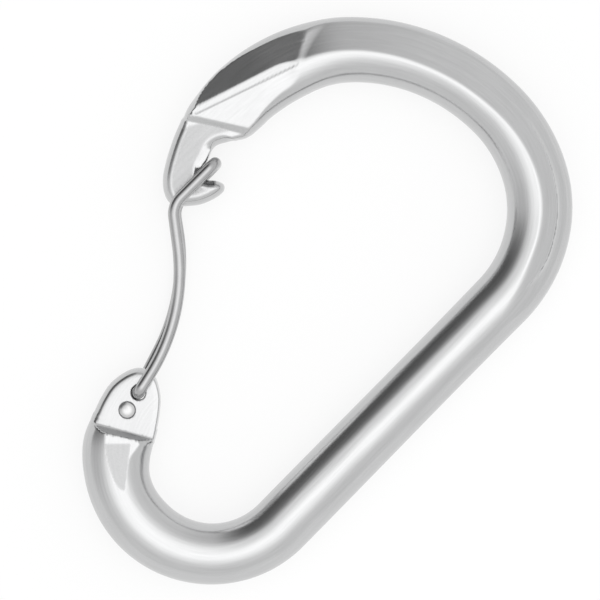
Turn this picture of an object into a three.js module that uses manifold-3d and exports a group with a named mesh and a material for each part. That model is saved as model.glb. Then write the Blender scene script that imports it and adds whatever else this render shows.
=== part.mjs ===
// Wire-gate carabiner: a forged aluminium body and a gate bent from one stainless wire.
// Millimetres. X runs along the spine, Y from the spine to the gate, Z through the thickness.
// The wire gate is made as two legs that turn on two offset holes and meet in the crossbar.
import * as THREE from 'three';
import { LoftGeometry } from 'three/addons/geometries/LoftGeometry.js';
import { mergeVertices } from 'three/addons/utils/BufferGeometryUtils.js';
import Module from 'manifold-3d';

const wasm = await Module();
wasm.setup();

const degrees = Math.PI / 180;

// ---------------------------------------------------------------- driving dimensions

// The rod's centreline, from the hinge end round the small end, along the spine
// and round the basket to the nose.
const rodHeight = 5.85;             // half the body's thickness
const smallEnd = { x: -33.05, y: -13.05, radius: 18.3 };
const hingeAngle = 114;             // where the rod starts on the small end's circle
const spineEndX = 26.3;
const basketTurns = [               // radius and angle of each arc of the basket
  [25.3, 36],
  [23, 24],
  [28.4, 30],
  [39, 46],
  [24, 22],
  [40, 18],
];

// Half the rod's width, and how far the outer side is bevelled, by distance along the rod.
const hingeLength = smallEnd.radius * (270 - hingeAngle) * degrees;
const spineLength = spineEndX - smallEnd.x;
const basketStart = hingeLength + spineLength;
const widthStops = [
  [0, 6.3],
  [10, 6.25],
  [22, 6.05],
  [35, 5.78],
  [hingeLength, 5.85],
  [basketStart, 5.88],
  [basketStart + 20, 6.2],
  [basketStart + 40, 6.1],
  [basketStart + 70, 6.2],
  [basketStart + 82, 6.62],
  [basketStart + 100, 6.66],
];
const bevelStops = [
  [basketStart - 10, 0],
  [basketStart + 10, 1],
];

// Flat faces forged on both sides of the two ends, and the shoulders that lead to them.
const faceHeight = 3.25;            // half the thickness between the flat faces
const crestHeight = 5.4;            // the small flats beside the shoulders
const hingeShoulder = [1.4, 3.4];   // distance along the rod, foot and top of the slope
const hingeCrestEnd = 17;
const noseStations = [              // outer point, inner point and height of each section
  { outer: [16.9, 37.2], inner: [17.1, 24.1], top: crestHeight },
  { outer: [13.6, 36.85], inner: [15.4, 24.25], top: crestHeight },
  { outer: [10.4, 36.25], inner: [14.1, 24.8], top: crestHeight },
  { outer: [8.5, 35.7], inner: [12.9, 25.6], top: faceHeight - 0.05 },
  { outer: [7.4, 34.6], inner: [11.3, 27.2], top: faceHeight - 0.05 },
];
const basketCrestStart = basketStart + 88;

// A flat facet across the top of the basket: a line in the X-Y plane, and its slope.
const facetAngle = 71.3;            // direction of its normal in the X-Y plane
const facetDistance = 37.31;        // its inner edge, from the origin along that normal
const facetEdgeHeight = 5.35;
const facetSlope = 28;

// The flat ends, seen from above. Both are rounded plates.
const noseRim = [
  [8.4, 35.68], [5.6, 34.64], [2.9, 33.4], [0.3, 32], [-1.8, 30.6], [-3.5, 28.8],
  [-4.4, 26.8], [-4.1, 25.1], [-2.7, 23.6], [-0.6, 21.9], [2, 20.8], [4.2, 20.5],
  [5.2, 21.4], [4.7, 22.9], [3.7, 24.1], [3.6, 25.3], [4.7, 26.3], [6.2, 26.75],
  [7.4, 27.2], [8.6, 27.55], [9.8, 27.4], [11.4, 26.5], [12.9, 25.6],
];
const noseRoot = [[16, 27.5], [12.5, 33.5]];
const hingeRim = [
  [-38.9, -3.1], [-35.6, -1.1], [-32.3, 1.4], [-30.7, 3.3], [-29.75, 5.2], [-29.7, 7.1],
  [-31, 8.9], [-33.4, 10], [-36.5, 10.4], [-39.5, 9.85], [-42.3, 8.9], [-43.6, 8.3],
];
const hingeRoot = [[-44.5, 4.5], [-42.2, -0.5]];
const edgeRound = 0.75;             // bevel on the plates' edges

// The wire gate: where it turns, where the crossbar is, and its bends.
const wireRadius = 1.125;
const nearPivot = new THREE.Vector2(-34.05, 5.33);
const farPivot = new THREE.Vector2(-37.82, 4.57);
const crossbar = new THREE.Vector2(6.92, 25.3);
const bendAtNose = new THREE.Vector2(-4.36, 25.37);
const nearCurveCorner = new THREE.Vector2(-17.17, 8.98);
const farCurveCorner = new THREE.Vector2(-14.25, 11.96);
const faceGap = 0.3;                // between a leg and the flat face under it
const legHeight = faceHeight + faceGap + wireRadius;
const swivelTop = -2.3;             // the crossbar is parted here, where the legs turn
const swivelGap = 0.3;
const pivotClearance = { near: 0.2, far: 0.35 };
const headRadius = 1.55;
const headHeight = 0.7;
const headGap = 0.1;                // between the peened head and the flat face under it

// How finely the round shapes are divided.
const smallEndSteps = 32;
const spineSteps = 8;
const basketDegrees = 4.5;          // turn from one station of the basket to the next
const bendDegrees = 9;              // turn from one ring of a bend to the next
const wireSides = 12;
const holeSides = 24;
const headSides = 18;
const headRings = 5;

// ---------------------------------------------------------------- helpers

// Value at a place along a list of [place, value] stops, with smooth steps between them.
function valueAt(stops, place) {
  if (place <= stops[0][0]) {
    return stops[0][1];
  }
  for (let i = 1; i < stops.length; i += 1) {
    const [start, from] = stops[i - 1];
    const [end, to] = stops[i];
    if (place <= end) {
      return THREE.MathUtils.lerp(from, to, THREE.MathUtils.smoothstep(place, start, end));
    }
  }
  return stops[stops.length - 1][1];
}

// A manifold solid from a closed three.js geometry.
function toSolid(geometry) {
  const bare = new THREE.BufferGeometry();
  bare.setAttribute('position', geometry.attributes.position);
  bare.setIndex(geometry.index);
  const merged = mergeVertices(bare, 1e-4);
  return new wasm.Manifold(new wasm.Mesh({
    numProp: 3,
    vertProperties: new Float32Array(merged.attributes.position.array),
    triVerts: new Uint32Array(merged.index.array),
  }));
}

// A three.js geometry from a manifold solid.
function toGeometry(solid) {
  const mesh = solid.getMesh();
  const geometry = new THREE.BufferGeometry();
  geometry.setAttribute('position', new THREE.BufferAttribute(mesh.vertProperties, 3));
  geometry.setIndex(new THREE.BufferAttribute(mesh.triVerts, 1));
  geometry.computeVertexNormals();
  return geometry;
}

// ---------------------------------------------------------------- the rod

// One ring of the rod. The outer half may be bevelled, and both sides are cut at a height.
const ringPoints = 24;
const bevelReach = 10.48;           // where the bevel's line meets the mid-plane
const bevelRise = 5.54;             // where it meets the section's own centre line
const crown = 0.03;                 // how much of the round is left on a bevel or a flat

function rodRing(station) {
  const ring = [];
  for (let i = 0; i < ringPoints; i += 1) {
    const angle = (i / ringPoints) * 2 * Math.PI;
    let across = station.halfWidth * Math.cos(angle);
    let up = -rodHeight * Math.sin(angle);
    const past = across / bevelReach + Math.abs(up) / bevelRise;
    if (across > 0 && past > 1) {
      const shrink = THREE.MathUtils.lerp(1, past ** (crown - 1), station.bevel);
      across *= shrink;
      up *= shrink;
    }
    const proud = Math.max(Math.abs(up) - station.top, 0) * Math.sign(up);
    up -= proud * (1 - crown);
    const x = station.centre.x + station.outward.x * across;
    const y = station.centre.y + station.outward.y * across;
    ring.push(new THREE.Vector3(x, y, up));
  }
  return ring;
}

// Stations along an arc that turns left from a point and a heading, in degrees.
function arcStations(start, heading, radius, sweep, steps) {
  const centreX = start.x - radius * Math.sin(heading * degrees);
  const centreY = start.y + radius * Math.cos(heading * degrees);
  const stations = [];
  for (let i = 1; i <= steps; i += 1) {
    const now = (heading + (sweep * i) / steps) * degrees;
    stations.push({
      centre: new THREE.Vector2(centreX + radius * Math.sin(now), centreY - radius * Math.cos(now)),
      outward: new THREE.Vector2(Math.sin(now), -Math.cos(now)),
      travelled: (radius * sweep * degrees * i) / steps,
    });
  }
  return stations;
}

function rodStations() {
  const stations = [];
  const startHeading = hingeAngle + 90 - 360;
  const start = new THREE.Vector2(
    smallEnd.x + smallEnd.radius * Math.cos(hingeAngle * degrees),
    smallEnd.y + smallEnd.radius * Math.sin(hingeAngle * degrees),
  );
  const first = { centre: start, travelled: 0 };
  first.outward = new THREE.Vector2(Math.sin(startHeading * degrees), -Math.cos(startHeading * degrees));
  stations.push(first);
  stations.push(...arcStations(start, startHeading, smallEnd.radius, -startHeading, smallEndSteps));

  const spineY = smallEnd.y - smallEnd.radius;
  for (let i = 1; i <= spineSteps; i += 1) {
    stations.push({
      centre: new THREE.Vector2(smallEnd.x + (spineLength * i) / spineSteps, spineY),
      outward: new THREE.Vector2(0, -1),
      travelled: hingeLength + (spineLength * i) / spineSteps,
    });
  }

  let travelled = basketStart;
  let heading = 0;
  for (const [radius, sweep] of basketTurns) {
    const from = stations[stations.length - 1].centre;
    const steps = Math.round(sweep / basketDegrees);
    for (const station of arcStations(from, heading, radius, sweep, steps)) {
      stations.push({ ...station, travelled: station.travelled + travelled });
    }
    heading += sweep;
    travelled += radius * sweep * degrees;
  }
  return stations;
}

// The highest that the rod reaches at a distance along it.
function rodTop(travelled) {
  const stops = [
    [hingeShoulder[0], faceHeight - 0.05],
    [hingeShoulder[1], crestHeight],
    [hingeCrestEnd, rodHeight],
    [basketCrestStart, rodHeight],
    [basketStart + 100, crestHeight],
  ];
  return valueAt(stops, travelled);
}

function makeRod() {
  const sections = rodStations().map((station) => rodRing({
    ...station,
    halfWidth: valueAt(widthStops, station.travelled),
    bevel: valueAt(bevelStops, station.travelled),
    top: rodTop(station.travelled),
  }));
  for (const { outer, inner, top } of noseStations) {
    const outerPoint = new THREE.Vector2(...outer);
    const innerPoint = new THREE.Vector2(...inner);
    sections.push(rodRing({
      centre: outerPoint.clone().add(innerPoint).multiplyScalar(0.5),
      outward: outerPoint.clone().sub(innerPoint).normalize(),
      halfWidth: outerPoint.distanceTo(innerPoint) / 2,
      bevel: 1,
      top,
    }));
  }
  const loft = new LoftGeometry(sections, { capStart: true, capEnd: true });
  return toSolid(loft);
}

// ---------------------------------------------------------------- the flat ends

function makePlate(rim, root) {
  const shape = new THREE.Shape();
  shape.moveTo(...rim[0]);
  shape.splineThru(rim.slice(1).map((point) => new THREE.Vector2(...point)));
  for (const point of root) {
    shape.lineTo(...point);
  }
  shape.closePath();
  const plate = new THREE.ExtrudeGeometry(shape, {
    depth: 2 * (faceHeight - edgeRound),
    curveSegments: 2,
    bevelThickness: edgeRound,
    bevelSize: edgeRound,
    bevelOffset: -edgeRound,
    bevelSegments: 3,
  });
  plate.translate(0, 0, -(faceHeight - edgeRound));
  return toSolid(plate);
}

// The block that cuts the flat facet on one side of the basket: side is 1 or -1.
function makeFacetCutter(side) {
  const reach = 2 * facetDistance;
  const depth = facetDistance / 2;
  const block = new THREE.BoxGeometry(depth, reach, depth);
  block.translate(0, 0, depth / 2);
  block.rotateY(facetSlope * degrees);
  block.translate(facetDistance, 0, facetEdgeHeight);
  block.rotateZ(facetAngle * degrees);
  const solid = toSolid(block);
  return side > 0 ? solid : solid.mirror([0, 0, 1]);
}

function makeHole(pivot, clearance) {
  const radius = wireRadius + clearance;
  const hole = new THREE.CylinderGeometry(radius, radius, 4 * faceHeight, holeSides);
  hole.rotateX(90 * degrees);
  hole.translate(pivot.x, pivot.y, 0);
  return toSolid(hole);
}

function makeBody() {
  let body = makeRod();
  body = body.subtract(makeFacetCutter(1)).subtract(makeFacetCutter(-1));
  body = body.add(makePlate(noseRim, noseRoot));
  body = body.add(makePlate(hingeRim, hingeRoot));
  body = body.subtract(makeHole(nearPivot, pivotClearance.near));
  body = body.subtract(makeHole(farPivot, pivotClearance.far));
  return toGeometry(body);
}

// ---------------------------------------------------------------- the wire gate

// Points along a path whose corners are rounded: each corner is a point and a bend radius.
function roundedPath(corners) {
  const points = [corners[0].point];
  for (let i = 1; i < corners.length - 1; i += 1) {
    const { point, bend } = corners[i];
    const back = corners[i - 1].point.clone().sub(point).normalize();
    const ahead = corners[i + 1].point.clone().sub(point).normalize();
    const turn = Math.PI - back.angleTo(ahead);
    const reach = bend * Math.tan(turn / 2);
    const centre = back.clone().add(ahead).normalize().multiplyScalar(bend / Math.cos(turn / 2)).add(point);
    const fromCentre = back.clone().multiplyScalar(reach).add(point).sub(centre);
    const axis = ahead.clone().cross(back).normalize();
    const steps = Math.max(4, Math.round(turn / degrees / bendDegrees));
    for (let step = 0; step <= steps; step += 1) {
      points.push(fromCentre.clone().applyAxisAngle(axis, (turn * step) / steps).add(centre));
    }
  }
  points.push(corners[corners.length - 1].point);
  return points;
}

// A round wire along points, with a flat end at each end.
function makeWire(points) {
  const sections = [];
  let sideways = new THREE.Vector3(0, 1, 0);
  for (let i = 0; i < points.length; i += 1) {
    const behind = points[Math.max(i - 1, 0)];
    const ahead = points[Math.min(i + 1, points.length - 1)];
    const along = ahead.clone().sub(behind).normalize();
    sideways = sideways.clone().addScaledVector(along, -sideways.dot(along)).normalize();
    const upward = along.clone().cross(sideways);
    const ring = [];
    for (let j = 0; j < wireSides; j += 1) {
      const angle = (j / wireSides) * 2 * Math.PI;
      const offset = sideways.clone().multiplyScalar(Math.cos(angle) * wireRadius);
      offset.addScaledVector(upward, Math.sin(angle) * wireRadius);
      ring.push(offset.add(points[i]));
    }
    sections.push(ring);
  }
  return toSolid(new LoftGeometry(sections, { capStart: true, capEnd: true }));
}

function at(place, height) {
  return new THREE.Vector3(place.x, place.y, height);
}

// The near leg: a pin in its hole, the leg over the upper face and the crossbar.
function makeNearLeg() {
  return toGeometry(makeWire(roundedPath([
    { point: at(nearPivot, -faceHeight + 0.1) },
    { point: at(nearPivot, legHeight), bend: 1.5 },
    { point: at(nearCurveCorner, legHeight), bend: 36.5 },
    { point: at(bendAtNose, legHeight), bend: 4.5 },
    { point: at(crossbar, legHeight), bend: 1.9 },
    { point: at(crossbar, swivelTop) },
  ])));
}

// The far leg: from the crossbar under the lower face to its own pin and peened head.
function makeFarLeg() {
  const headFoot = faceHeight + headGap;
  const wire = makeWire(roundedPath([
    { point: at(crossbar, swivelTop - swivelGap) },
    { point: at(crossbar, -legHeight), bend: 1.9 },
    { point: at(bendAtNose, -legHeight), bend: 4.5 },
    { point: at(farCurveCorner, -legHeight), bend: 36.5 },
    { point: at(farPivot, -legHeight), bend: 1.5 },
    { point: at(farPivot, headFoot + headHeight / 2) },
  ]));
  const outline = [new THREE.Vector2(0, 0), new THREE.Vector2(headRadius, 0)];
  for (let i = 1; i <= headRings; i += 1) {
    const angle = (i / headRings) * 90 * degrees;
    outline.push(new THREE.Vector2(headRadius * Math.cos(angle), headHeight * Math.sin(angle)));
  }
  outline[outline.length - 1].x = 0;
  const head = new THREE.LatheGeometry(outline, headSides);
  head.rotateX(90 * degrees);
  head.translate(farPivot.x, farPivot.y, headFoot);
  return toGeometry(wire.add(toSolid(head)));
}

// ---------------------------------------------------------------- the assembly

const aluminium = new THREE.MeshStandardMaterial({ color: 0xdfe1e2, roughness: 0.22, metalness: 1 });
const stainless = new THREE.MeshStandardMaterial({ color: 0xa9acad, roughness: 0.28, metalness: 1 });

const carabiner = new THREE.Group();
carabiner.name = 'carabiner';

const pieces = [
  ['forged_body', makeBody(), aluminium],
  ['gate_near_leg', makeNearLeg(), stainless],
  ['gate_far_leg', makeFarLeg(), stainless.clone()],
];
for (const [name, geometry, material] of pieces) {
  const mesh = new THREE.Mesh(geometry, material);
  mesh.name = name;
  mesh.position.z = rodHeight;
  carabiner.add(mesh);
}

export default carabiner;
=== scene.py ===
"""A wire-gate carabiner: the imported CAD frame, with a finished body and wire gate around it."""

import math

import bpy
import numpy as np
from mathutils import Matrix, Vector


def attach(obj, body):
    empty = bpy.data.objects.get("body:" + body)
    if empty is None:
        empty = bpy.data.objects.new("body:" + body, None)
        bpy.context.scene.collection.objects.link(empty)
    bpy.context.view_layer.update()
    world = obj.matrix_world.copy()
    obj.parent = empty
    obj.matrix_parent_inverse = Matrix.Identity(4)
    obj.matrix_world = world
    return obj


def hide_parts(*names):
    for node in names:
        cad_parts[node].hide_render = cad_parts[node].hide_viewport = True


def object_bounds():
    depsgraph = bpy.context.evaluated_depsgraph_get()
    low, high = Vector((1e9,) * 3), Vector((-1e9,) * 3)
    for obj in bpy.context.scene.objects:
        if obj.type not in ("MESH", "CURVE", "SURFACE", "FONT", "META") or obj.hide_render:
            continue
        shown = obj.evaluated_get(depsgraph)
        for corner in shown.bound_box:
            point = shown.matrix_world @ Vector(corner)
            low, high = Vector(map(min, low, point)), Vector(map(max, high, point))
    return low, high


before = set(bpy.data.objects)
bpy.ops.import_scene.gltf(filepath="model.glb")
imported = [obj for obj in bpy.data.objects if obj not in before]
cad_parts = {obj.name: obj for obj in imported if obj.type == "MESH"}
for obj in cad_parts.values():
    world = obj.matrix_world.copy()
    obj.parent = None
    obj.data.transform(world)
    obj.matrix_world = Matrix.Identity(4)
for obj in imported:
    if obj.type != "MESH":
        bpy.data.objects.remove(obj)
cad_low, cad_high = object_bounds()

# Everything below is worked out in millimetres about the carabiner's middle plane, in the frame's
# axes: X along the spine, Y from the spine to the gate, Z through the thickness.
MM = 0.001
MID_HEIGHT = (cad_low.z + cad_high.z) / 2 / MM


# ---------------------------------------------------------------- sizes

ROD_HEIGHT = (cad_high.z - cad_low.z) / 2 / MM
FACE_HEIGHT = 3.25              # half the thickness between the flat faces of the two ends
SMALL_END_CENTRE = (-33.05, -13.05)
SMALL_END_RADIUS = 18.3
SPINE_END_X = 26.3
HINGE_ANGLE = 100.0             # the rod's path starts here on the small end's circle
BASKET_TURNS = [(25.3, 36), (23, 24), (28.4, 30), (39, 46), (24, 22), (40, 18)]
NOSE_HEADING = 178.5
NOSE_RUN = 14.0

# Distances along the path at which its stretches start.
HINGE_RUN = SMALL_END_RADIUS * math.radians(270 - HINGE_ANGLE)
SPINE_RUN = SPINE_END_X - SMALL_END_CENTRE[0]
BASKET_START = HINGE_RUN + SPINE_RUN
BASKET_RUN = sum(radius * math.radians(sweep) for radius, sweep in BASKET_TURNS)
NOSE_START = BASKET_START + BASKET_RUN

# Half the rod's width on each side of its path, by the distance along it.
OUTER_HALF_WIDTH = [
    (0, 5.3), (4, 5.5), (8, 6.2), (14, 6.12), (26, 6.02), (39, 5.8), (HINGE_RUN, 5.85),
    (BASKET_START, 5.87), (BASKET_START + 20, 6.2), (BASKET_START + 40, 6.1),
    (BASKET_START + 70, 6.18), (BASKET_START + 78, 6.15), (BASKET_START + 83, 6.42),
    (NOSE_START - 5, 6.6), (NOSE_START - 2, 6.6), (NOSE_START + 2.6, 6.5),
    (NOSE_START + 6, 6.05), (NOSE_START + 9.2, 5.4), (NOSE_START + 11.1, 4.6),
    (NOSE_START + 13, 3.6),
]
INNER_HALF_WIDTH = [
    (0, 6.2), (3, 6.65), (6, 6.85), (8.5, 6.85), (11.5, 6.6), (15, 6.2), (26, 6.05),
    (39, 5.8), (HINGE_RUN, 5.85),
    (BASKET_START, 5.88), (BASKET_START + 20, 6.2), (BASKET_START + 40, 6.1),
    (BASKET_START + 70, 6.2), (BASKET_START + 84, 6.6), (NOSE_START - 2, 6.6),
    (NOSE_START + 2.6, 6.6), (NOSE_START + 4.2, 6.45), (NOSE_START + 5.5, 6.0),
    (NOSE_START + 6.7, 5.2), (NOSE_START + 8.3, 4.2), (NOSE_START + 10, 3.2),
]

# Where the rod's section turns squarer than an ellipse, near its two ends, and by how much on its
# outer and inner side. A squarer section is also a little wider.
SQUARE_BY_NOSE = (NOSE_START - 26, NOSE_START - 10)
SQUARE_BY_HINGE = (12, 4)
OUTER_SQUARER_BY_NOSE = 4
INNER_SQUARER_BY_NOSE = 0.63
INNER_SQUARER_BY_HINGE = 0.9
SQUARE_WIDENING = 0.02

# The bevel round the basket's outer side: its height above the path, how far out it would come
# down to the middle plane, and where it fades in and out. It fades out askew, and sooner on the
# outside of its middle. Where it fades it is lifted clear of the rod.
BEVEL_REACH = 10.48
BEVEL_RISE = [
    (BASKET_START, 5.75), (BASKET_START + 21, 5.95), (BASKET_START + 44, 5.33),
    (BASKET_START + 55, 5.33), (BASKET_START + 71, 5.56),
]
BEVEL_START = (BASKET_START - 12, BASKET_START + 12)
BEVEL_END = (NOSE_START - 17.2, NOSE_START - 8.2)
BEVEL_END_SKEW = 0.9
BEVEL_MIDDLE = 3.0
BEVEL_LIFT = 1.6
BEVEL_STEEPNESS = 1.13          # what the height above it grows by, for each mm away from it

# The radius of the rounded wall outside the bevel, by the distance along the path.
OUTER_WALL_ROUND = [
    (NOSE_START - 28, 4.1), (NOSE_START - 16, 4.6), (NOSE_START - 11, 4.2),
    (NOSE_START - 5.7, 4.8), (NOSE_START - 1.5, 7.5), (NOSE_START + 4, 12.5),
    (NOSE_START + 9, 7),
]

# The crest beside the nose rises outwards to a small step down to a narrow strip, and the facet
# falls away from the strip's other edge. Both edges are lines: the direction of the normal and
# the distance from the origin. Crest and facet fade in along the path as the bevel does.
CREST_START = (NOSE_START - 16, NOSE_START - 8)
CREST_LIFT = 0.9
CREST_STEEPNESS = 1.01
FACET_START = (NOSE_START - 26, NOSE_START - 20)
FACET_LIFT = 2.0
FACET_STEEPNESS = 1.13
STEP_LINE = (70.15, 35.93)
FACET_LINE = (71.3, 37.31)
STRIP_HEIGHT = 5.35
STEP_HEIGHT = 0.11
CREST_RISE = 0.088
FACET_FALL = 0.532
DROP_LINE = (-9.8, 19.8)        # short of this line all of it falls away towards the nose
DROP_FALL = 0.091
DROP_BLEND = 3.0

# The shoulders between the rod and the flat ends: a point on the foot, the way up in degrees,
# the slope, and the power that makes it steeper further up.
NOSE_SHOULDER = {"foot": (11.7, 30.13), "angle": 31.2, "rise": 0.76, "power": 1.0}
HINGE_SHOULDER = {"foot": (-40.98, 2.45), "angle": 209.3, "rise": 1.35, "power": 1.6}
ROD_PAST_SHOULDER = 1.5         # how far the rod runs on inside each flat end
PLATE_SPARE = 0.6               # how much too thick a flat end is before its face is cut
TOP_OF_SHOULDER = 4.0           # above the face, and clear of the rod

# The flat forged across the crest behind the hinge's shoulder: its height at a line, its slope
# up from that line, how far it runs back before it curves up, where it ends along the path, and
# the lines that bound its satin face.
HINGE_FLAT_LINE = (163.9, 40.47)
HINGE_FLAT_HEIGHT = 5.12
HINGE_FLAT_SLOPE = 0.129
HINGE_FLAT_RUN = 9.5
HINGE_FLAT_CURVE = 0.03
HINGE_FLAT_END = 22
HINGE_SATIN_LINES = [(224.5, 30.0), (127.4, 25.1)]

# The rod's outer wall beside the hinge's shoulder: its radius behind it and how much less in
# front, and where it ends along the path.
HINGE_WALL_ROUND = 12.0
HINGE_WALL_LESS = 7.0
HINGE_WALL_FRONT = (1.5, -1.0)
HINGE_WALL_END = 12

# The flat ends, seen from above.
RIM_STEPS = 6
NOSE_RIM = [
    (8.4, 35.68), (5.6, 34.64), (2.9, 33.4), (0.3, 32), (-1.8, 30.6), (-3.5, 28.8),
    (-4.4, 26.8), (-4.1, 25.1), (-2.7, 23.6), (-0.6, 21.9), (2, 20.8), (4.2, 20.5),
    (5.2, 21.4), (4.7, 22.9), (3.7, 24.1), (3.6, 25.3), (4.7, 26.3), (6.2, 26.75),
    (7.4, 27.2), (8.6, 27.55), (9.8, 27.4), (11.4, 26.5), (12.9, 25.6),
]
NOSE_ROOT = [(16, 27.5), (12.5, 33.5)]
HINGE_RIM = [
    (-38.9, -3.25), (-35.6, -1.3), (-32.3, 1.25), (-30.7, 3.3), (-29.75, 5.2), (-29.7, 7.1),
    (-31, 8.9), (-33.4, 10), (-36.5, 10.4), (-39.5, 9.85), (-42.3, 8.9), (-43.6, 8.3),
]
HINGE_ROOT = [(-44.5, 4.5), (-42.2, -0.5)]

# Each flat end lies below this X and above this Y.
NOSE_BOUNDS = (19, 17)
HINGE_BOUNDS = (-27, -8)

# Their edges: the radius of the side wall, the width of the band where the face falls away
# towards the rim, and the corner between the two. Each is given with its change in the notch of
# the nose, or on the outer side of the hinge.
NOSE_WALL_ROUND = 5.15
NOSE_BAND = 1.3
NOSE_CORNER = 0.6
NOTCH_REACH = (3.8, 2.4)        # how far from the crossbar the notch's edges begin and are whole
NOTCH_FLATNESS = 0.92
NOTCH_LESS_CORNER = 0.4
HINGE_ROUND = 30
HINGE_OUTER_LESS_ROUND = 24
HINGE_BAND = 0.4
HINGE_OUTER_MORE_BAND = 0.7
HINGE_CORNER = 0.3
HINGE_OUTER_MORE_CORNER = 0.3
HINGE_OUTER_SIDE = (-2.0, 2.5)  # how far across the path its outer side begins and is whole
BAND_FALL = 0.08

# How wide the roundings are where the body's surfaces meet.
BLEND = {
    "wall": 0.2, "bevel": 0.3, "strip": 0.1, "facet": 0.12, "hinge flat": 0.08,
    "hinge wall": 0.1, "rod to plate": 0.5, "foot": 0.3, "hole": 0.3,
}
NO_CUT = -9                     # a field so far inside that it cuts nothing

# How satin the facet and the hinge's plate are, where the nose's flat is 1, and how upright the
# surface's normal has to be on the two flat ends.
FACET_SATIN = 0.12
PLATE_SATIN = 0.2
NOSE_UPRIGHT = 0.9
PLATE_UPRIGHT = 0.98

# Where the satin begins and is whole: in from the rims of the two flat ends, in from the lines
# round the hinge's flat, and by a point's distance from the surface that it should lie on.
NOSE_SATIN_RIM = (-1.55, -2.1)
PLATE_SATIN_RIM = (-1.0, -1.4)
HINGE_SATIN_LINE = (-0.1, 0.15)
ON_HINGE_FLAT = (0.05, 0.01)
ON_FACET = (0.08, 0.02)
HINGE_SATIN_RISE = 1.25         # the hinge's flat is satin beyond this distance up the shoulder
PLATE_SATIN_RISE = -0.2         # and its plate in front of this one
HINGE_SATIN_X = -30             # the satin of the hinge's flat lies below this X

# The wire gate.
WIRE_RADIUS = 1.125
NEAR_PIVOT = (-34.05, 5.33)
FAR_PIVOT = (-37.82, 4.57)
CROSSBAR = (6.92, 25.3)
BEND_AT_NOSE = (-4.36, 25.37)
NEAR_CURVE = (-17.17, 8.98)
FAR_CURVE = (-14.25, 11.96)
LEG_GAP = 0.3                   # between each leg and the face beside it
LEG_HEIGHT = FACE_HEIGHT + LEG_GAP + WIRE_RADIUS
HOLE_CLEARANCE = (0.2, 0.35)     # round the near pin and round the far pin
CROSSBAR_PART = -2.45           # the two legs meet at this height on the crossbar
NOSE_BEND = 4.5                 # the radii of the wire's bends
LEG_CURVE = 36.5
CROSSBAR_BEND = 1.9
PIN_BEND = 1.5
HEAD_RADIUS = 1.52
HEAD_HEIGHT = 0.38
HEAD_GAP = 0.02                 # the head's edge stands this far above the face
HEAD_RINGS = 15
HEAD_POWER = 2.6                # the larger, the flatter the head's top

# How fine the streaks of the finish are along the rod and across it.
STREAK_ALONG = 0.12
STREAK_ACROSS = 2.4

VOXEL = 0.31                    # size of the body's faces
WIRE_SPACING = 0.35             # size of the wire's faces along it


# ---------------------------------------------------------------- small tools

def smooth_curve(stops, place):
    """A smooth curve through (place, value) stops, flat beyond its ends."""
    x = np.array([stop[0] for stop in stops], float)
    y = np.array([stop[1] for stop in stops], float)
    slope = np.gradient(y, x)
    slope[0] = slope[-1] = 0
    place = np.clip(place, x[0], x[-1])
    i = np.clip(np.searchsorted(x, place) - 1, 0, len(x) - 2)
    width = x[i + 1] - x[i]
    u = (place - x[i]) / width
    return (
        y[i] * (1 + 2 * u) * (1 - u) ** 2
        + y[i + 1] * u * u * (3 - 2 * u)
        + slope[i] * width * u * (1 - u) ** 2
        - slope[i + 1] * width * u * u * (1 - u)
    )


def smooth_step(low, high, value):
    """Rises smoothly from 0 at low to 1 at high, where low may also be the larger."""
    u = np.clip((value - low) / (high - low), 0, 1)
    return u * u * (3 - 2 * u)


def smooth_max(a, b, width):
    """The larger of two fields, with the edge between them rounded."""
    near = np.maximum(width - np.abs(a - b), 0) / width
    return np.maximum(a, b) + near * near * width / 4


def smooth_min(a, b, width):
    """The smaller of two fields, with the edge between them rounded."""
    return -smooth_max(-a, -b, width)


def soft_plus(value, width):
    """Zero below zero and the value above, with the corner rounded."""
    return smooth_max(value, np.zeros_like(value), width)


def spline(points, steps):
    """A Catmull-Rom spline through points in the plane."""
    p = np.array([points[0]] + list(points) + [points[-1]], float)
    out = []
    for i in range(1, len(p) - 2):
        for k in range(steps):
            u = k / steps
            out.append(0.5 * (
                2 * p[i]
                + (p[i + 1] - p[i - 1]) * u
                + (2 * p[i - 1] - 5 * p[i] + 4 * p[i + 1] - p[i + 2]) * u * u
                + (3 * p[i] - p[i - 1] - 3 * p[i + 1] + p[i + 2]) * u ** 3
            ))
    out.append(p[-2])
    return np.array(out)


def outline_distance(x, y, outline):
    """Distance from an outline, negative inside it."""
    start = outline
    end = np.roll(outline, -1, axis=0)
    nearest = np.full(x.shape, 1e9)
    inside = np.zeros(x.shape, bool)
    for (ax, ay), (bx, by) in zip(start, end):
        ex, ey = bx - ax, by - ay
        along = np.clip(((x - ax) * ex + (y - ay) * ey) / (ex * ex + ey * ey), 0, 1)
        nearest = np.minimum(nearest, np.hypot(x - ax - along * ex, y - ay - along * ey))
        if ay != by:
            crosses = ((ay > y) != (by > y)) & (x < ex * (y - ay) / ey + ax)
            inside ^= crosses
    return np.where(inside, -nearest, nearest)


# ---------------------------------------------------------------- the rod's path

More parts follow.
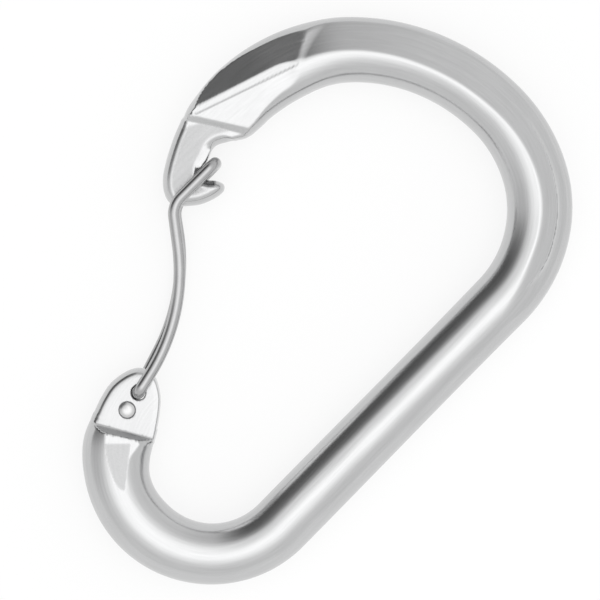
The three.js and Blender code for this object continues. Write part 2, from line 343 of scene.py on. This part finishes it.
def make_path():
    """The path's stretches in order, each an arc or a line with its start along the path."""
    stretches = [{
        "centre": SMALL_END_CENTRE,
        "radius": SMALL_END_RADIUS,
        "from": math.radians(HINGE_ANGLE),
        "sweep": math.radians(270 - HINGE_ANGLE),
        "start": 0.0,
    }]
    spine_y = SMALL_END_CENTRE[1] - SMALL_END_RADIUS
    stretches.append({
        "point": (SMALL_END_CENTRE[0], spine_y), "heading": 0.0,
        "length": SPINE_RUN, "start": HINGE_RUN,
    })
    x, y, heading, start = SPINE_END_X, spine_y, 0.0, BASKET_START
    for radius, sweep in BASKET_TURNS:
        centre = (x - radius * math.sin(heading), y + radius * math.cos(heading))
        sweep = math.radians(sweep)
        stretches.append({
            "centre": centre, "radius": radius, "from": heading - math.pi / 2,
            "sweep": sweep, "start": start,
        })
        heading += sweep
        start += radius * sweep
        x = centre[0] + radius * math.sin(heading)
        y = centre[1] - radius * math.cos(heading)
    stretches.append({
        "point": (x, y), "heading": math.radians(NOSE_HEADING),
        "length": NOSE_RUN, "start": start,
    })
    return stretches


PATH = make_path()


def path_place(x, y):
    """For each point: its distance along the path, and across it, positive outwards."""
    best = np.full(x.shape, 1e9)
    along = np.zeros(x.shape)
    across = np.zeros(x.shape)
    for stretch in PATH:
        if "radius" in stretch:
            dx, dy = x - stretch["centre"][0], y - stretch["centre"][1]
            middle = stretch["from"] + stretch["sweep"] / 2
            angle = np.arctan2(dy, dx)
            angle = (angle - middle + math.pi) % (2 * math.pi) - math.pi
            held = np.clip(angle, -stretch["sweep"] / 2, stretch["sweep"] / 2)
            end_x = stretch["radius"] * np.cos(held + middle)
            end_y = stretch["radius"] * np.sin(held + middle)
            distance = np.hypot(dx - end_x, dy - end_y)
            here = stretch["start"] + (held + stretch["sweep"] / 2) * stretch["radius"]
            side = np.hypot(dx, dy) - stretch["radius"]
        else:
            dx, dy = x - stretch["point"][0], y - stretch["point"][1]
            c, s = math.cos(stretch["heading"]), math.sin(stretch["heading"])
            held = np.clip(dx * c + dy * s, 0, stretch["length"])
            distance = np.hypot(dx - held * c, dy - held * s)
            here = stretch["start"] + held
            side = dx * s - dy * c
        closer = distance < best
        best = np.where(closer, distance, best)
        along = np.where(closer, here, along)
        across = np.where(closer, side, across)
    return along, across


# ---------------------------------------------------------------- the body's shape

def past_line(line, x, y):
    """Distance beyond a line, given the direction of its normal and its distance."""
    a = math.radians(line[0])
    return x * math.cos(a) + y * math.sin(a) - line[1]


def slope_from(shoulder, x, y):
    """Distance up the slope of a shoulder, measured along the ground."""
    a = math.radians(shoulder["angle"])
    fx, fy = shoulder["foot"]
    return (x - fx) * math.cos(a) + (y - fy) * math.sin(a)


def side_swell(z, radius):
    """How far a rounded side draws in at a height."""
    z = np.minimum(np.abs(z), 0.97 * radius)
    return radius - np.sqrt(radius * radius - z * z)


def hinge_flat_height(x, y):
    """The flat forged across the rod's crest just behind the hinge's shoulder."""
    past_end = np.maximum(slope_from(HINGE_SHOULDER, x, y) - HINGE_FLAT_RUN, 0)
    climb = HINGE_FLAT_SLOPE * past_line(HINGE_FLAT_LINE, x, y)
    return HINGE_FLAT_HEIGHT + climb + HINGE_FLAT_CURVE * past_end * past_end


def nose_drop(x, y):
    """How far the crest and facet have fallen away towards the nose."""
    return DROP_FALL * soft_plus(-past_line(DROP_LINE, x, y), DROP_BLEND)


def crest_height(x, y):
    """The crest beside the nose, with its step and strip."""
    from_step = past_line(STEP_LINE, x, y)
    crest = STRIP_HEIGHT + STEP_HEIGHT * smooth_step(0.25, -0.25, from_step)
    return crest + CREST_RISE * np.minimum(from_step, 0) - nose_drop(x, y)


def facet_height(x, y):
    """The flat facet outside the strip."""
    return STRIP_HEIGHT - FACET_FALL * past_line(FACET_LINE, x, y) - nose_drop(x, y)


def rod_field(x, y, z):
    """The rod's surface is where this is zero, with its bevel, facet, crest and hinge flat cut."""
    along, across = path_place(x, y)
    half_width = np.where(
        across > 0,
        smooth_curve(OUTER_HALF_WIDTH, along),
        smooth_curve(INNER_HALF_WIDTH, along),
    )
    up = np.abs(z)
    round_size = (half_width + ROD_HEIGHT) / 2
    by_nose = smooth_step(*SQUARE_BY_NOSE, along)
    by_hinge = smooth_step(*SQUARE_BY_HINGE, along)
    inner = INNER_SQUARER_BY_NOSE * by_nose + INNER_SQUARER_BY_HINGE * by_hinge
    power = 2 + OUTER_SQUARER_BY_NOSE * by_nose * (across > 0) + inner * (across < 0)
    share = np.abs(across) / (half_width * (1 + SQUARE_WIDENING * (power - 2)))
    spread = share ** power + (up / ROD_HEIGHT) ** power
    field = (np.maximum(spread, 1e-9) ** (1 / power) - 1) * round_size

    bevel = smooth_step(*BEVEL_START, along)
    wall_round = smooth_curve(OUTER_WALL_ROUND, along) / np.maximum(bevel, 0.05)
    wall = across - half_width + side_swell(z, wall_round)
    field = smooth_max(field, wall, BLEND["wall"])
    askew = along + BEVEL_END_SKEW * (across - BEVEL_MIDDLE)
    bevel = bevel * (1 - smooth_step(*BEVEL_END, askew))
    rise = smooth_curve(BEVEL_RISE, along)
    bevel_cut = (up - rise * (1 - across / BEVEL_REACH)) / BEVEL_STEEPNESS
    bevel_cut = bevel_cut - (1 - bevel) * BEVEL_LIFT
    field = smooth_max(field, bevel_cut, BLEND["bevel"])

    crest_cut = (up - crest_height(x, y)) / CREST_STEEPNESS
    crest_cut = crest_cut - (1 - smooth_step(*CREST_START, along)) * CREST_LIFT
    facet_cut = (up - facet_height(x, y)) / FACET_STEEPNESS
    facet_cut = facet_cut - (1 - smooth_step(*FACET_START, along)) * FACET_LIFT
    cut = smooth_max(crest_cut, facet_cut, BLEND["strip"])
    field = smooth_max(field, np.where(along > FACET_START[0], cut, NO_CUT), BLEND["facet"])

    hinge_rise = slope_from(HINGE_SHOULDER, x, y)
    hinge_flat = np.where(along < HINGE_FLAT_END, up - hinge_flat_height(x, y), NO_CUT)
    field = smooth_max(field, hinge_flat, BLEND["hinge flat"])
    in_front = smooth_step(*HINGE_WALL_FRONT, hinge_rise)
    outer_round = HINGE_WALL_ROUND - HINGE_WALL_LESS * in_front
    outer_wall = across - half_width + side_swell(z, outer_round)
    outer_wall = np.where(along < HINGE_WALL_END, outer_wall, NO_CUT)
    return smooth_max(field, outer_wall, BLEND["hinge wall"])


def flat_end(rod, x, y, z, shoulder, outline, radius, band, corner):
    """Joins the rod to a flat end: one side wall round both, and one face down to the shoulder."""
    up = np.abs(z)
    rise = slope_from(shoulder, x, y)
    plate = outline_distance(x, y, outline) + side_swell(z, radius)
    rod = np.maximum(rod, -rise - ROD_PAST_SHOULDER)
    fall = np.maximum(band + np.minimum(rod, plate), 0) * smooth_step(1.0, -1.0, rise)
    plate = np.maximum(plate, up - FACE_HEIGHT - PLATE_SPARE)
    side = smooth_min(rod, plate, BLEND["rod to plate"])
    climb = shoulder["rise"] * soft_plus(rise, BLEND["foot"]) ** shoulder["power"]
    top = FACE_HEIGHT - BAND_FALL * fall * fall + np.minimum(climb, TOP_OF_SHOULDER)
    steep = shoulder["rise"] * (rise > 0) * shoulder["power"] ** 2
    corner = np.maximum(corner * (1 - 0.75 * smooth_step(-0.2, 0.5, rise)), 0.1)
    return smooth_max(side, (up - top) / np.hypot(1, steep), corner)


NOSE_OUTLINE = np.vstack([spline(NOSE_RIM, RIM_STEPS), NOSE_ROOT])
HINGE_OUTLINE = np.vstack([spline(HINGE_RIM, RIM_STEPS), HINGE_ROOT])


def body_field(points):
    """The body's surface is where this is zero; it is negative inside."""
    x, y, z = points.T
    field = rod_field(x, y, z)

    near = (x < NOSE_BOUNDS[0]) & (y > NOSE_BOUNDS[1])
    from_notch = np.hypot(x[near] - CROSSBAR[0], y[near] - CROSSBAR[1])
    in_notch = smooth_step(*NOTCH_REACH, from_notch)
    field[near] = flat_end(
        field[near], x[near], y[near], z[near], NOSE_SHOULDER, NOSE_OUTLINE,
        NOSE_WALL_ROUND / (1 - NOTCH_FLATNESS * in_notch), NOSE_BAND,
        NOSE_CORNER - NOTCH_LESS_CORNER * in_notch,
    )

    near = (x < HINGE_BOUNDS[0]) & (y > HINGE_BOUNDS[1])
    outer = smooth_step(*HINGE_OUTER_SIDE, path_place(x[near], y[near])[1])
    field[near] = flat_end(
        field[near], x[near], y[near], z[near], HINGE_SHOULDER, HINGE_OUTLINE,
        HINGE_ROUND - HINGE_OUTER_LESS_ROUND * outer,
        HINGE_BAND + HINGE_OUTER_MORE_BAND * outer,
        HINGE_CORNER + HINGE_OUTER_MORE_CORNER * outer,
    )
    for (px, py), clearance in zip((NEAR_PIVOT, FAR_PIVOT), HOLE_CLEARANCE):
        hole = WIRE_RADIUS + clearance - np.hypot(x[near] - px, y[near] - py)
        field[near] = smooth_max(field[near], hole, BLEND["hole"])
    return field


def gradient(points, step=0.02):
    """The slope of the body's field at each point."""
    slopes = []
    for axis in range(3):
        shift = np.zeros(3)
        shift[axis] = step
        slopes.append((body_field(points + shift) - body_field(points - shift)) / (2 * step))
    return np.stack(slopes, axis=1)


def settle(points, passes):
    """Moves points on to the body's surface."""
    longest_move = 0.6
    least_size = 0.05
    for _ in range(passes):
        slope = gradient(points)
        size = np.maximum((slope * slope).sum(axis=1), least_size)
        move = slope * (body_field(points) / size)[:, None]
        length = np.maximum(np.linalg.norm(move, axis=1), 1e-9)
        points = points - move * np.minimum(1, longest_move / length)[:, None]
    return points


def relax(points, edges, passes):
    """Evens out the spacing of points along the surface."""
    count = np.zeros(len(points))
    np.add.at(count, edges.ravel(), 1)
    for _ in range(passes):
        total = np.zeros_like(points)
        np.add.at(total, edges[:, 0], points[edges[:, 1]])
        np.add.at(total, edges[:, 1], points[edges[:, 0]])
        shift = total / count[:, None] - points
        normal = gradient(points)
        normal /= np.linalg.norm(normal, axis=1)[:, None] + 1e-9
        shift -= normal * (shift * normal).sum(axis=1)[:, None]
        points = settle(points + 0.5 * shift, 1)
    return points


def even_faces(source, name):
    """A new piece: a copy of a CAD node's mesh, made again in faces of one size."""
    piece = bpy.data.objects.new(name, source.data.copy())
    bpy.context.scene.collection.objects.link(piece)
    remesh = piece.modifiers.new("even_faces", "REMESH")
    remesh.mode = "VOXEL"
    remesh.voxel_size = VOXEL * MM
    bpy.context.view_layer.update()
    evaluated = piece.evaluated_get(bpy.context.evaluated_depsgraph_get())
    mesh = bpy.data.meshes.new_from_object(evaluated)
    piece.modifiers.clear()
    piece.data = mesh
    mesh.name = name
    return piece


def read_mesh(mesh):
    """A mesh's points in millimetres about the middle plane, and its edges as pairs of points."""
    points = np.zeros(len(mesh.vertices) * 3)
    mesh.vertices.foreach_get("co", points)
    points = points.reshape(-1, 3) / MM
    points[:, 2] -= MID_HEIGHT
    edges = np.zeros(len(mesh.edges) * 2, int)
    mesh.edges.foreach_get("vertices", edges)
    return points, edges.reshape(-1, 2)


def satin_share(points, normals):
    """How satin the surface is at each point: 1 on the nose's flat, 0 where it is polished."""
    x, y, z = points.T
    along = path_place(x, y)[0]
    upright = np.abs(normals[:, 2])
    hinge_rise = slope_from(HINGE_SHOULDER, x, y)

    from_rim = outline_distance(x, y, NOSE_OUTLINE)
    satin = smooth_step(*NOSE_SATIN_RIM, from_rim) * (slope_from(NOSE_SHOULDER, x, y) < 0)
    satin = satin * (upright > NOSE_UPRIGHT)

    off_flat = np.abs(np.abs(z) - hinge_flat_height(x, y))
    on_flat = (hinge_rise > HINGE_SATIN_RISE) & (along < HINGE_FLAT_END) & (x < HINGE_SATIN_X)
    for line in HINGE_SATIN_LINES:
        on_flat = on_flat * smooth_step(*HINGE_SATIN_LINE, past_line(line, x, y))
    satin = np.maximum(satin, on_flat * smooth_step(*ON_HINGE_FLAT, off_flat))

    off_facet = np.abs(np.abs(z) - facet_height(x, y))
    on_facet = smooth_step(*FACET_START, along) * smooth_step(*ON_FACET, off_facet)
    satin = np.maximum(satin, FACET_SATIN * on_facet)

    from_rim = outline_distance(x, y, HINGE_OUTLINE)
    on_plate = smooth_step(*PLATE_SATIN_RIM, from_rim) * (hinge_rise < PLATE_SATIN_RISE)
    return np.maximum(satin, PLATE_SATIN * on_plate * (upright > PLATE_UPRIGHT))


def make_body():
    """The forged body: the CAD body's mesh in even faces, moved on to the finished shape."""
    body = even_faces(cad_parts["forged_body"], "carabiner_body")
    mesh = body.data
    points, edges = read_mesh(mesh)
    points = settle(points, 4)
    points = relax(points, edges, 4)
    points = settle(points, 3)
    normals = gradient(points)
    normals /= np.linalg.norm(normals, axis=1)[:, None]

    satin = satin_share(points, normals)
    along, across = path_place(points[:, 0], points[:, 1])
    streaks = [along * STREAK_ALONG, across * STREAK_ACROSS, points[:, 2] * STREAK_ACROSS]
    raised = points.copy()
    raised[:, 2] += MID_HEIGHT
    mesh.vertices.foreach_set("co", (raised * MM).ravel())
    mesh.attributes.new("satin", "FLOAT", "POINT").data.foreach_set("value", satin)
    drawn = mesh.attributes.new("drawn", "FLOAT_VECTOR", "POINT")
    drawn.data.foreach_set("vector", np.stack(streaks, axis=1).ravel())
    mesh.polygons.foreach_set("use_smooth", np.ones(len(mesh.polygons), bool))
    mesh.update()
    mesh.normals_split_custom_set_from_vertices(normals.tolist())
    return body


# ---------------------------------------------------------------- the wire gate

def rounded_path(corners, spacing):
    """Points along a path with rounded corners. Each corner is a point and a bend radius."""
    points = []

    def run_to(end):
        start = points[-1]
        count = max(1, int(np.linalg.norm(end - start) / spacing))
        for i in range(1, count + 1):
            points.append(start + (end - start) * i / count)

    places = [np.array(corner[0], float) for corner in corners]
    points.append(places[0])
    for i in range(1, len(corners) - 1):
        bend = corners[i][1]
        back = places[i - 1] - places[i]
        ahead = places[i + 1] - places[i]
        back /= np.linalg.norm(back)
        ahead /= np.linalg.norm(ahead)
        turn = math.pi - math.acos(float(back @ ahead))
        reach = bend * math.tan(turn / 2)
        inward = back + ahead
        centre = places[i] + inward / np.linalg.norm(inward) * bend / math.cos(turn / 2)
        run_to(places[i] + back * reach)
        arm = points[-1] - centre
        tangent = -back
        count = max(6, int(bend * turn / spacing))
        for k in range(1, count + 1):
            angle = turn * k / count
            points.append(centre + arm * math.cos(angle) + tangent * bend * math.sin(angle))
    run_to(places[-1])
    return np.array(points)


def make_tube(name, points, radii, sides=28):
    """A closed round tube along points, with a radius at each point."""
    ahead = np.gradient(points, axis=0)
    ahead /= np.linalg.norm(ahead, axis=1)[:, None]
    side = np.array([0.3, 1.0, 0.1])    # no stretch of the wire runs this way
    verts = []
    for point, direction, radius in zip(points, ahead, radii):
        side = side - direction * (side @ direction)
        side = side / np.linalg.norm(side)
        other = np.cross(direction, side)
        for k in range(sides):
            angle = 2 * math.pi * k / sides
            offset = (side * math.cos(angle) + other * math.sin(angle)) * radius
            verts.append(point + offset)
    faces = []
    for i in range(len(points) - 1):
        for k in range(sides):
            m = (k + 1) % sides
            faces.append((i * sides + k, i * sides + m, (i + 1) * sides + m, (i + 1) * sides + k))
    faces.append(tuple(range(sides))[::-1])
    last = (len(points) - 1) * sides
    faces.append(tuple(last + k for k in range(sides)))
    verts = np.array(verts)
    verts[:, 2] += MID_HEIGHT
    mesh = bpy.data.meshes.new(name)
    mesh.from_pydata((verts * MM).tolist(), [], faces)
    mesh.polygons.foreach_set("use_smooth", [len(face) == 4 for face in faces])
    mesh.update()
    tube = bpy.data.objects.new(name, mesh)
    bpy.context.scene.collection.objects.link(tube)
    return tube


def at(place, height):
    """A place in the plane, at a height."""
    return (place[0], place[1], height)


def make_near_wire():
    """The near pin, the leg over the upper face, and the upper part of the crossbar."""
    points = rounded_path([
        (at(NEAR_PIVOT, -FACE_HEIGHT + 0.1), 0),
        (at(NEAR_PIVOT, LEG_HEIGHT), PIN_BEND),
        (at(NEAR_CURVE, LEG_HEIGHT), LEG_CURVE),
        (at(BEND_AT_NOSE, LEG_HEIGHT), NOSE_BEND),
        (at(CROSSBAR, LEG_HEIGHT), CROSSBAR_BEND),
        (at(CROSSBAR, CROSSBAR_PART), 0),
    ], WIRE_SPACING)
    return make_tube("gate_wire_near", points, np.full(len(points), WIRE_RADIUS))


def make_far_wire():
    """The rest of the crossbar, the leg under the lower face, and the far pin with its head."""
    points = rounded_path([
        (at(CROSSBAR, CROSSBAR_PART), 0),
        (at(CROSSBAR, -LEG_HEIGHT), CROSSBAR_BEND),
        (at(BEND_AT_NOSE, -LEG_HEIGHT), NOSE_BEND),
        (at(FAR_CURVE, -LEG_HEIGHT), LEG_CURVE),
        (at(FAR_PIVOT, -LEG_HEIGHT), PIN_BEND),
        (at(FAR_PIVOT, FACE_HEIGHT), 0),
    ], WIRE_SPACING)
    foot = FACE_HEIGHT + HEAD_GAP
    head = [at(FAR_PIVOT, foot)]
    radii = [WIRE_RADIUS] * len(points) + [HEAD_RADIUS]
    for k in range(1, HEAD_RINGS):
        share = 1 - k / HEAD_RINGS
        head.append(at(FAR_PIVOT, foot + HEAD_HEIGHT * (1 - share ** HEAD_POWER)))
        radii.append(HEAD_RADIUS * share)
    wire = make_tube("gate_wire_far", np.vstack([points, head]), np.array(radii))
    # A mask for a painted highlight: 1 on the head above the face, where the wire's colour is made
    # lighter.
    heights = np.array([vert.co.z for vert in wire.data.vertices]) / MM - MID_HEIGHT
    head_painted_highlight = wire.data.attributes.new("head_painted_highlight", "FLOAT", "POINT")
    head_painted_highlight.data.foreach_set("value", smooth_step(FACE_HEIGHT - 0.1, FACE_HEIGHT + 0.1, heights))
    return wire


# ---------------------------------------------------------------- materials

def new_material(name):
    """A material with its nodes and links."""
    material = bpy.data.materials.new(name)
    material.use_nodes = True
    return material, material.node_tree.nodes, material.node_tree.links


def add(nodes, kind, **settings):
    """A node with its settings, each an input's value or else a property."""
    node = nodes.new(kind)
    for key, value in settings.items():
        if key in node.inputs:
            node.inputs[key].default_value = value
        else:
            setattr(node, key, value)
    return node


def aluminium_material():
    """Tumble-polished aluminium, with the recessed flats left satin and grainy."""
    material, nodes, links = new_material("tumbled_aluminium")
    shader = nodes["Principled BSDF"]
    shader.inputs["Metallic"].default_value = 1.0
    place = add(nodes, "ShaderNodeTexCoord")
    satin = add(nodes, "ShaderNodeAttribute", attribute_name="satin")
    drawn = add(nodes, "ShaderNodeAttribute", attribute_name="drawn")
    streaks = add(nodes, "ShaderNodeTexNoise", Scale=1.0, Detail=4.0, Roughness=0.65)
    links.new(drawn.outputs["Vector"], streaks.inputs["Vector"])

    grain = add(nodes, "ShaderNodeTexNoise", Scale=2600.0, Detail=3.0, Roughness=0.6)
    links.new(place.outputs["Object"], grain.inputs["Vector"])
    cloud = add(nodes, "ShaderNodeTexNoise", Scale=120.0, Detail=3.0, Roughness=0.5)
    links.new(place.outputs["Object"], cloud.inputs["Vector"])

    tone = add(nodes, "ShaderNodeMixRGB")
    tone.inputs["Color1"].default_value = (0.53, 0.532, 0.535, 1)
    tone.inputs["Color2"].default_value = (0.57, 0.572, 0.575, 1)
    links.new(cloud.outputs["Fac"], tone.inputs["Fac"])
    streak_tone = add(nodes, "ShaderNodeMapRange")
    streak_tone.inputs["From Min"].default_value = 0.3
    streak_tone.inputs["From Max"].default_value = 0.7
    streak_tone.inputs["To Min"].default_value = 0.96
    streak_tone.inputs["To Max"].default_value = 1.04
    links.new(streaks.outputs["Fac"], streak_tone.inputs["Value"])
    streaked = add(nodes, "ShaderNodeMixRGB", blend_type="MULTIPLY")
    streaked.inputs["Fac"].default_value = 1.0
    links.new(tone.outputs["Color"], streaked.inputs["Color1"])
    links.new(streak_tone.outputs["Result"], streaked.inputs["Color2"])
    links.new(streaked.outputs["Color"], shader.inputs["Base Color"])

    polished = add(nodes, "ShaderNodeMapRange")
    polished.inputs["To Min"].default_value = 0.13
    polished.inputs["To Max"].default_value = 0.25
    links.new(streaks.outputs["Fac"], polished.inputs["Value"])
    rough = add(nodes, "ShaderNodeMix")
    rough.inputs["B"].default_value = 0.5
    links.new(satin.outputs["Fac"], rough.inputs["Factor"])
    links.new(polished.outputs["Result"], rough.inputs["A"])
    links.new(rough.outputs["Result"], shader.inputs["Roughness"])

    grain_depth = add(nodes, "ShaderNodeMapRange")
    grain_depth.inputs["To Min"].default_value = 0.05
    grain_depth.inputs["To Max"].default_value = 1.0
    links.new(satin.outputs["Fac"], grain_depth.inputs["Value"])
    lines = add(nodes, "ShaderNodeBump", Distance=0.00001, Strength=1.0)
    links.new(streaks.outputs["Fac"], lines.inputs["Height"])
    fine = add(nodes, "ShaderNodeBump", Distance=0.00006)
    links.new(lines.outputs["Normal"], fine.inputs["Normal"])
    links.new(grain.outputs["Fac"], fine.inputs["Height"])
    links.new(grain_depth.outputs["Result"], fine.inputs["Strength"])
    links.new(fine.outputs["Normal"], shader.inputs["Normal"])
    return material


def steel_material():
    """Drawn stainless wire, a little darker than the body, with a painted highlight: the far pin's head
    is given a lighter colour than the rest of the wire.
    """
    material, nodes, links = new_material("stainless_wire")
    shader = nodes["Principled BSDF"]
    shader.inputs["Metallic"].default_value = 1.0
    place = add(nodes, "ShaderNodeTexCoord")
    cloud = add(nodes, "ShaderNodeTexNoise", Scale=400.0, Detail=4.0)
    links.new(place.outputs["Object"], cloud.inputs["Vector"])
    tone = add(nodes, "ShaderNodeMixRGB")
    tone.inputs["Color1"].default_value = (0.40, 0.40, 0.405, 1)
    tone.inputs["Color2"].default_value = (0.49, 0.49, 0.49, 1)
    links.new(cloud.outputs["Fac"], tone.inputs["Fac"])
    # Painted highlight: the far pin's head gets a lighter colour than the rest of the wire, standing in
    # for its reflection of the bright light.
    head_painted_highlight = add(nodes, "ShaderNodeAttribute", attribute_name="head_painted_highlight")
    bright = add(nodes, "ShaderNodeMixRGB")
    bright.inputs["Color2"].default_value = (0.58, 0.58, 0.58, 1)
    links.new(head_painted_highlight.outputs["Fac"], bright.inputs["Fac"])
    links.new(tone.outputs["Color"], bright.inputs["Color1"])
    links.new(bright.outputs["Color"], shader.inputs["Base Color"])
    rough = add(nodes, "ShaderNodeMapRange")
    rough.inputs["To Min"].default_value = 0.13
    rough.inputs["To Max"].default_value = 0.26
    links.new(cloud.outputs["Fac"], rough.inputs["Value"])
    links.new(rough.outputs["Result"], shader.inputs["Roughness"])
    grain = add(nodes, "ShaderNodeTexNoise", Scale=3000.0, Detail=2.0)
    links.new(place.outputs["Object"], grain.inputs["Vector"])
    bump = add(nodes, "ShaderNodeBump", Distance=0.00001, Strength=0.15)
    links.new(grain.outputs["Fac"], bump.inputs["Height"])
    links.new(bump.outputs["Normal"], shader.inputs["Normal"])
    return material


# ---------------------------------------------------------------- the stage

def make_floor():
    """A plain white floor, lit a little from within so that it stays pale."""
    mesh = bpy.data.meshes.new("floor")
    half = 3.0
    corners = [(-half, -half, 0), (half, -half, 0), (half, half, 0), (-half, half, 0)]
    mesh.from_pydata(corners, [], [(0, 1, 2, 3)])
    floor = bpy.data.objects.new("floor", mesh)
    bpy.context.scene.collection.objects.link(floor)
    material, nodes, _ = new_material("white_floor")
    shader = nodes["Principled BSDF"]
    shader.inputs["Base Color"].default_value = (0.2, 0.2, 0.2, 1)
    shader.inputs["Roughness"].default_value = 1.0
    shader.inputs["Specular IOR Level"].default_value = 0.0
    shader.inputs["Emission Color"].default_value = (1, 1, 1, 1)
    shader.inputs["Emission Strength"].default_value = 0.8
    mesh.materials.append(material)


def make_world():
    """Soft light from all round: brightest overhead on the spine's side, dark low on the gate's side."""
    world = bpy.data.worlds.new("studio")
    bpy.context.scene.world = world
    world.use_nodes = True
    nodes, links = world.node_tree.nodes, world.node_tree.links
    nodes.clear()
    place = nodes.new("ShaderNodeTexCoord")
    split = nodes.new("ShaderNodeSeparateXYZ")
    links.new(place.outputs["Generated"], split.inputs["Vector"])

    def math_node(kind, *values):
        node = nodes.new("ShaderNodeMath")
        node.operation = kind
        for i, value in enumerate(values):
            if isinstance(value, (int, float)):
                node.inputs[i].default_value = value
            else:
                links.new(value, node.inputs[i])
        return node.outputs["Value"]

    def ramp(value, stops):
        node = nodes.new("ShaderNodeValToRGB")
        node.color_ramp.interpolation = "LINEAR"
        elements = node.color_ramp.elements
        while len(elements) < len(stops):
            elements.new(0.5)
        for element, (position, level) in zip(elements, stops):
            element.position = position
            element.color = (level, level, level, 1)
        links.new(value, node.inputs["Fac"])
        return node.outputs["Color"]

    height = split.outputs["Z"]
    from_top = math_node("ARCCOSINE", height)
    from_top = math_node("DIVIDE", from_top, math.pi / 2)
    bright = ramp(from_top, [
        (0.0, 1.0), (0.14, 0.98), (0.25, 0.88), (0.4, 0.65), (0.57, 0.53), (0.72, 0.50),
        (0.88, 0.52), (1.0, 0.58),
    ])
    dark = ramp(from_top, [
        (0.0, 0.98), (0.08, 0.76), (0.25, 0.64), (0.36, 0.56), (0.44, 0.28), (0.57, 0.11),
        (0.75, 0.075), (0.9, 0.065), (1.0, 0.11),
    ])
    flat = math_node("MULTIPLY", height, height)
    flat = math_node("SUBTRACT", 1.0, flat)
    flat = math_node("SQRT", math_node("MAXIMUM", flat, 0.0001))
    towards = math_node("DIVIDE", split.outputs["Y"], flat)
    side = ramp(towards, [(0.0, 0.0), (0.35, 0.03), (0.75, 0.25), (0.9, 0.85), (0.96, 1.0)])
    mix = nodes.new("ShaderNodeMixRGB")
    links.new(side, mix.inputs["Fac"])
    links.new(bright, mix.inputs["Color1"])
    links.new(dark, mix.inputs["Color2"])

    light = nodes.new("ShaderNodeBackground")
    light.inputs["Strength"].default_value = 1.79
    links.new(mix.outputs["Color"], light.inputs["Color"])
    plain = nodes.new("ShaderNodeBackground")
    plain.inputs["Color"].default_value = (0.94, 0.945, 0.95, 1)
    ray = nodes.new("ShaderNodeLightPath")
    both = nodes.new("ShaderNodeMixShader")
    links.new(ray.outputs["Is Camera Ray"], both.inputs["Fac"])
    links.new(light.outputs["Background"], both.inputs[1])
    links.new(plain.outputs["Background"], both.inputs[2])
    out = nodes.new("ShaderNodeOutputWorld")
    links.new(both.outputs["Shader"], out.inputs["Surface"])


def make_camera():
    """Looks straight down on the upper face, with the spine rising to the right."""
    distance = 900.0
    width_seen = 113.2075
    aim = (-0.28, -4.13)
    roll = math.radians(45.53)
    data = bpy.data.cameras.new("camera")
    data.sensor_width = 36.0
    data.lens = data.sensor_width * distance / width_seen
    data.clip_start = 0.01
    data.clip_end = 20.0
    camera = bpy.data.objects.new("camera", data)
    bpy.context.scene.collection.objects.link(camera)
    right = Vector((math.cos(roll), -math.sin(roll), 0))
    above = Vector((math.sin(roll), math.cos(roll), 0))
    back = Vector((0, 0, 1))
    turn = Matrix((right, above, back)).transposed().to_4x4()
    centre = Vector((*aim, MID_HEIGHT + distance)) * MM
    camera.matrix_world = Matrix.Translation(centre) @ turn
    bpy.context.scene.camera = camera


# ---------------------------------------------------------------- the model

make_camera()
make_world()
make_floor()
bpy.context.scene.view_settings.view_transform = "Standard"

aluminium = aluminium_material()
steel = steel_material()

body = make_body()
body.data.materials.clear()
body.data.materials.append(aluminium)
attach(body, "body")
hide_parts("forged_body")

near_wire = make_near_wire()
near_wire.data.materials.append(steel)
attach(near_wire, "near_leg")
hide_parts("gate_near_leg")

far_wire = make_far_wire()
far_wire.data.materials.append(steel)
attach(far_wire, "far_leg")
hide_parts("gate_far_leg")
